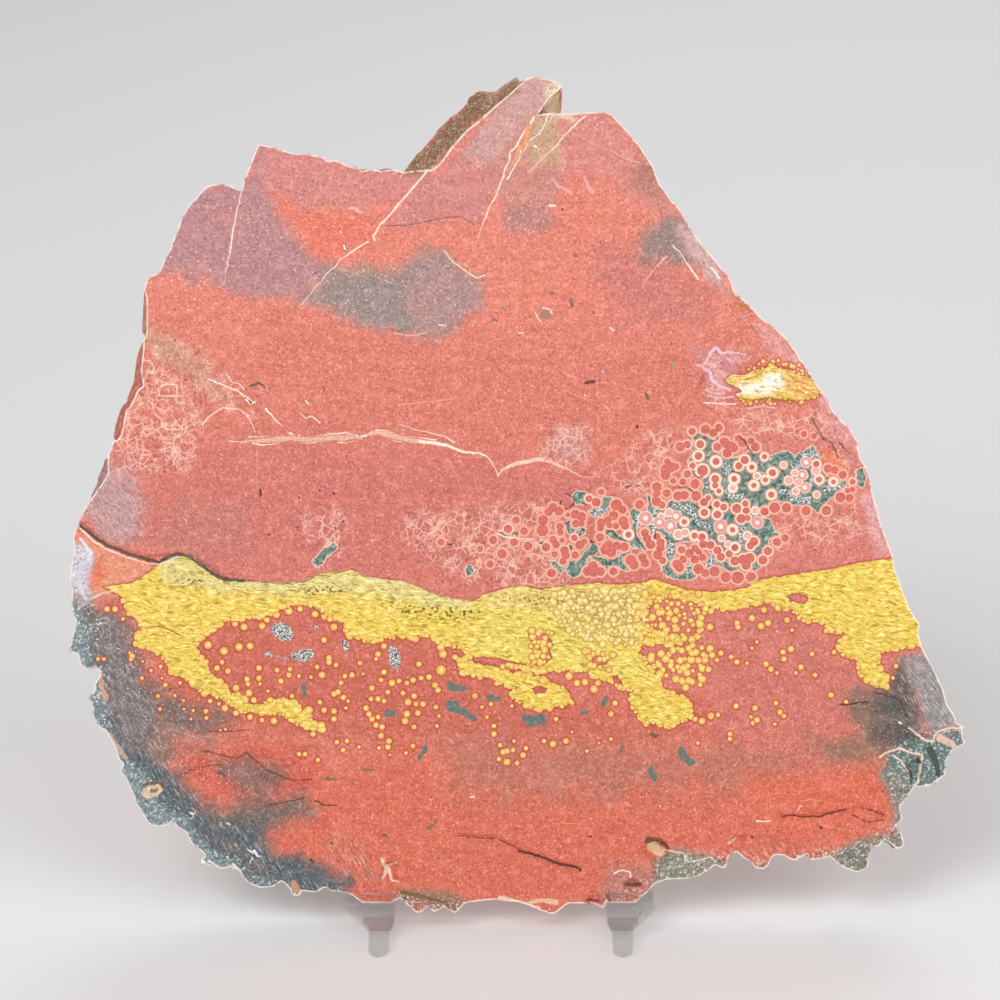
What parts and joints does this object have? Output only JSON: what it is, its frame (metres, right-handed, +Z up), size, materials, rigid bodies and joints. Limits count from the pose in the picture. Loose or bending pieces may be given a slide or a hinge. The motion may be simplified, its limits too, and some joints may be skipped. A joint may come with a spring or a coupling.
{
  "type": "jasper_slab_on_easel",
  "caption": "Sawn, polished slab of orbicular ocean jasper in salmon red, yellow and grey with pale veins and a ragged rim, leaning on a small clear plastic display easel",
  "frame": {"origin": "on the floor, under the middle of the whole part's bounding box", "axes": "+Z up; the slab's polished face looks towards -Y and leans back towards +Y; +X is to the right when facing the polished face"},
  "size_m": [0.1622, 0.0676, 0.1452],
  "materials": {
    "jasper": "polished face, rough natural rim",
    "clear_plastic": "clear moulded plastic"
  },
  "bodies": {
    "root": {"jasper_slab": "jasper", "display_easel": "clear_plastic"}
  },
  "joints": []
}
